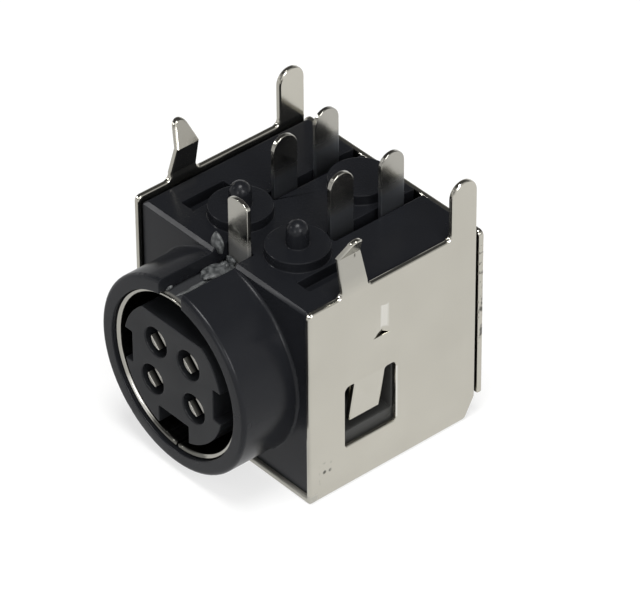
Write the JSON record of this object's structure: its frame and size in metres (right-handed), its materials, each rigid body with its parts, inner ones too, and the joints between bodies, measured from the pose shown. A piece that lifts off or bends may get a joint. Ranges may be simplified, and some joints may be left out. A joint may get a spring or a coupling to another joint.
{
  "type": "board-mounted power mini-DIN socket",
  "caption": "Right-angle round power socket for a circuit board: black keyed barrel with spring terminals in a folded plated shell with solder legs, kinked retention legs and latch tongues.",
  "frame": {"origin": "Under the middle of the whole part's box, on the outer face of the shell's roof panel, which it stands on.", "axes": "+Z is the side that faces the circuit board, where the legs point. -Y is the plug side, where the barrel stands out. +X is the right when looking along +Y into the barrel."},
  "size_m": [0.0166, 0.0176, 0.0181],
  "materials": {
    "shell_plate": "nickel-plated steel sheet, satin bright",
    "black_moulding": "black glass-filled thermoplastic, semi-gloss",
    "core_moulding": "black thermoplastic, semi-gloss",
    "ring_plate": "nickel-plated steel strip, bright",
    "terminal_plate": "tin-plated copper alloy, bright"
  },
  "bodies": {
    "root": {"shell": "shell_plate", "housing": "black_moulding", "core": "core_moulding", "shield_ring": "ring_plate", "terminal_upper_left": "terminal_plate", "terminal_upper_right": "terminal_plate", "terminal_lower_left": "terminal_plate", "terminal_lower_right": "terminal_plate"}
  },
  "joints": []
}
